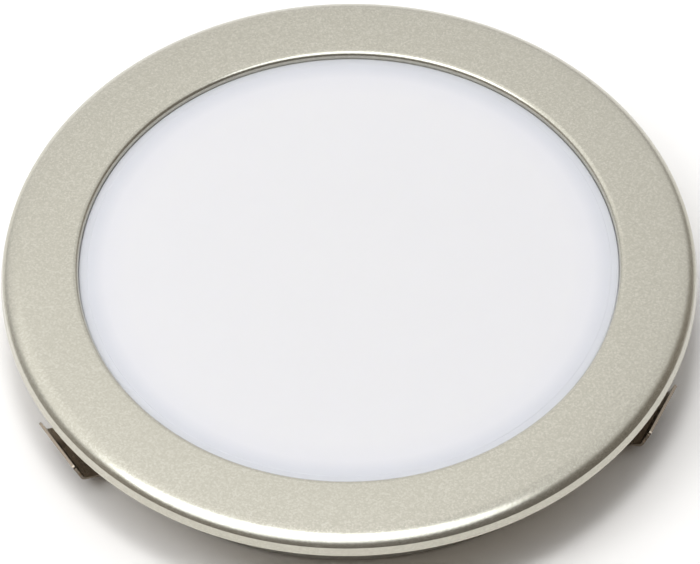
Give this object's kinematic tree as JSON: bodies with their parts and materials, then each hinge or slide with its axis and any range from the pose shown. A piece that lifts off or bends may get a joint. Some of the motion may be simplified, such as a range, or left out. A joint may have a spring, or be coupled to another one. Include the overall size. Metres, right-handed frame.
{
  "type": "recessed light",
  "caption": "Flat round recessed light with a satin metal trim ring, an opal diffuser and sprung clips that grip the edge of a panel's cut-out.",
  "frame": {"origin": "centre of the back plate's outer face, which the light lies on", "axes": "+Z along the light's axis, out of its front; +X to the right and -Y towards the viewer in the picture"},
  "size_m": [0.065, 0.065, 0.0089],
  "materials": {
    "ring_lacquer": "satin, fine metallic flake",
    "bond": "matte",
    "opal": "satin",
    "white_plastic": "satin",
    "die_cast": "satin",
    "back_sheet": "satin",
    "grommet": "matte",
    "heat_pad": "matte",
    "board_white": "satin",
    "package_white": "matte",
    "phosphor": "gloss",
    "resistor_black": "satin",
    "chip_black": "matte",
    "terminal_white": "satin",
    "spring_steel": "satin",
    "screw_steel": "satin"
  },
  "bodies": {
    "light": {"trim_ring": "ring_lacquer", "bond_ring": "bond", "diffuser": "opal", "reflector": "white_plastic", "housing": "die_cast", "back_plate": "back_sheet", "cable_grommet": "grommet", "thermal_pad": "heat_pad", "led_board": "board_white", "led_packages": "package_white", "led_phosphors": "phosphor", "resistors": "resistor_black", "driver_chip": "chip_black", "rectifier": "chip_black", "wire_terminal": "terminal_white", "board_screw_1": "screw_steel", "back_screw_1": "screw_steel", "board_screw_2": "screw_steel", "back_screw_2": "screw_steel", "board_screw_3": "screw_steel", "back_screw_3": "screw_steel"},
    "clip_1": {"spring_clip_1": "spring_steel"},
    "clip_2": {"spring_clip_2": "spring_steel"},
    "clip_3": {"spring_clip_3": "spring_steel"}
  },
  "joints": [
    {"name": "clip_1_flex", "type": "hinge", "parent": "light", "child": "clip_1", "pos_m": [-0.00141, 0.02686, 0.001], "axis": [0.9986, 0.0523, 0], "range_deg": [0, 54], "stiffness_Nm_per_rad": 0.02},
    {"name": "clip_2_flex", "type": "hinge", "parent": "light", "child": "clip_2", "pos_m": [-0.02281, -0.01425, 0.001], "axis": [-0.5299, 0.848, 0], "range_deg": [0, 54], "stiffness_Nm_per_rad": 0.02},
    {"name": "clip_3_flex", "type": "hinge", "parent": "light", "child": "clip_3", "pos_m": [0.02418, -0.01179, 0.001], "axis": [-0.4384, -0.8988, 0], "range_deg": [0, 54], "stiffness_Nm_per_rad": 0.02}
  ]
}
